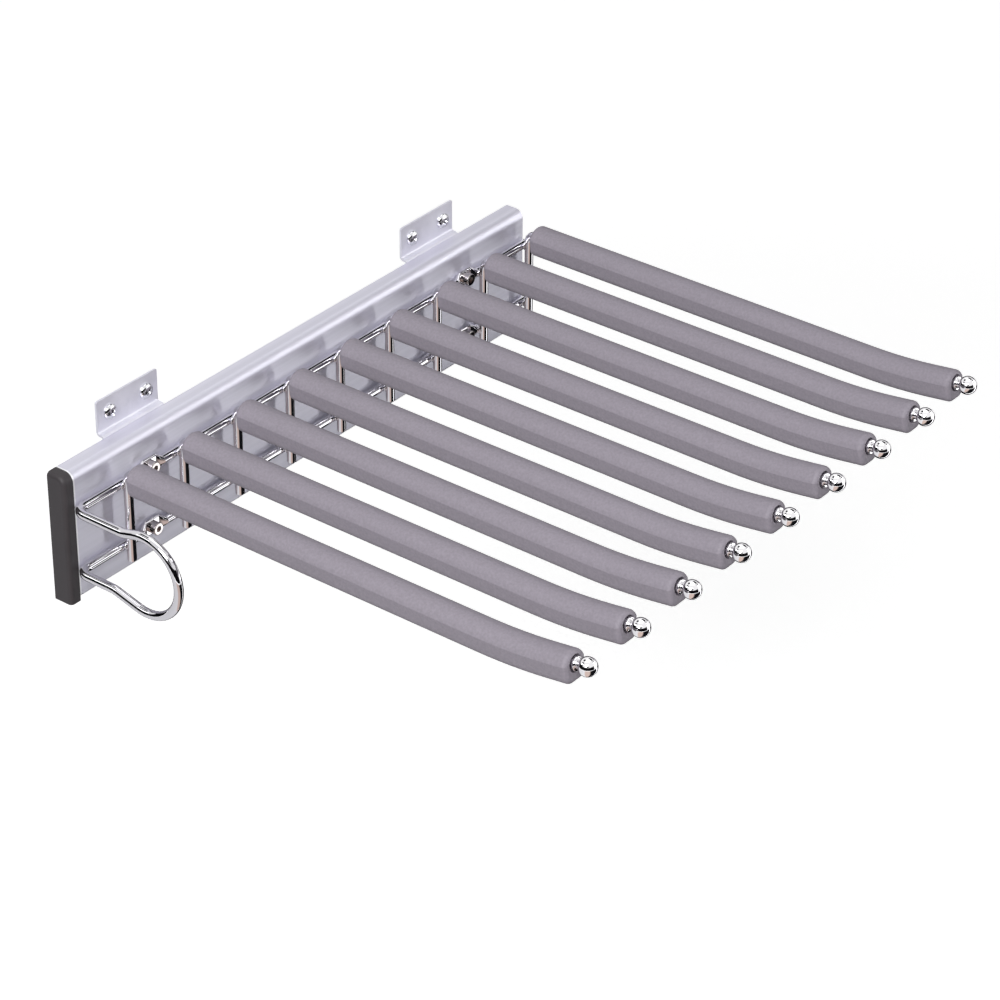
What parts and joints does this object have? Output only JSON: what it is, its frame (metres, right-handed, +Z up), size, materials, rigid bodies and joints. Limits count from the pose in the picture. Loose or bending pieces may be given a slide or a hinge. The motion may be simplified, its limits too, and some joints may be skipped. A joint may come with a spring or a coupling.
{
  "type": "pull-out trouser rack",
  "caption": "Side-mounted pull-out trouser rack: ball-bearing slide under a flat rail cover, wire frame, row of sleeved arms with ball tips and a loop handle.",
  "frame": {"origin": "on the wall plane, midway between the front bracket's two screws", "axes": "+X from the wall along the arms, +Y into the wardrobe along the slide (it pulls out towards -Y), +Z up"},
  "size_m": [0.3934, 0.4559, 0.114],
  "materials": {
    "anodised_aluminium": "satin natural anodised, drawn lines along its length",
    "dark_plastic": "charcoal moulded plastic, matt",
    "zinc_plate": "light zinc-plated sheet",
    "slide_steel": "zinc-plated roll-formed steel",
    "bearing_steel": "polished steel balls",
    "rubber": "black rubber",
    "zinc_fasteners": "bright zinc-plated steel",
    "chrome_fasteners": "bright chromed steel",
    "chrome": "polished chrome plating",
    "grey_sleeve": "mid grey plastic with a fine pebbled, non-slip surface"
  },
  "bodies": {
    "wall_side": {"front_bracket": "zinc_plate", "rear_bracket": "zinc_plate", "wall_screws": "zinc_fasteners", "bracket_rivets": "zinc_fasteners", "slide_outer_member": "slide_steel", "rear_bumper": "rubber"},
    "middle_member": {"slide_middle_member": "slide_steel"},
    "outer_cages": {"outer_cage_upper": "slide_steel", "outer_cage_lower": "slide_steel", "outer_balls": "bearing_steel"},
    "inner_cages": {"inner_cage_upper": "slide_steel", "inner_cage_lower": "slide_steel", "inner_balls": "bearing_steel"},
    "carriage": {"rail_cover": "anodised_aluminium", "front_end_cap": "dark_plastic", "slide_inner_member": "slide_steel", "slide_screws": "zinc_fasteners", "frame_screws": "chrome_fasteners", "frame_wire": "chrome", "arm_rod_1": "chrome", "arm_rod_2": "chrome", "arm_rod_3": "chrome", "arm_rod_4": "chrome", "arm_rod_5": "chrome", "arm_rod_6": "chrome", "arm_rod_7": "chrome", "arm_rod_8": "chrome", "arm_rod_9": "chrome", "ball_tip_1": "chrome", "ball_tip_2": "chrome", "ball_tip_3": "chrome", "ball_tip_4": "chrome", "ball_tip_5": "chrome", "ball_tip_6": "chrome", "ball_tip_7": "chrome", "ball_tip_8": "chrome", "ball_tip_9": "chrome", "arm_sleeve_1": "grey_sleeve", "arm_sleeve_2": "grey_sleeve", "arm_sleeve_3": "grey_sleeve", "arm_sleeve_4": "grey_sleeve", "arm_sleeve_5": "grey_sleeve", "arm_sleeve_6": "grey_sleeve", "arm_sleeve_7": "grey_sleeve", "arm_sleeve_8": "grey_sleeve", "arm_sleeve_9": "grey_sleeve"}
  },
  "joints": [
    {"name": "pull_out", "type": "slide", "parent": "wall_side", "child": "carriage", "axis": [0, -1, 0], "range_m": [0, 0.4]},
    {"name": "middle_slide", "type": "slide", "parent": "wall_side", "child": "middle_member", "axis": [0, -1, 0], "range_m": [0, 0.2]},
    {"name": "outer_cage_roll", "type": "slide", "parent": "wall_side", "child": "outer_cages", "axis": [0, -1, 0], "range_m": [0, 0.1]},
    {"name": "inner_cage_roll", "type": "slide", "parent": "wall_side", "child": "inner_cages", "axis": [0, -1, 0], "range_m": [0, 0.3]}
  ],
  "couplings": [
    {"joint": "middle_slide", "follows": "pull_out", "ratio": 0.5},
    {"joint": "outer_cage_roll", "follows": "pull_out", "ratio": 0.25},
    {"joint": "inner_cage_roll", "follows": "pull_out", "ratio": 0.75}
  ]
}
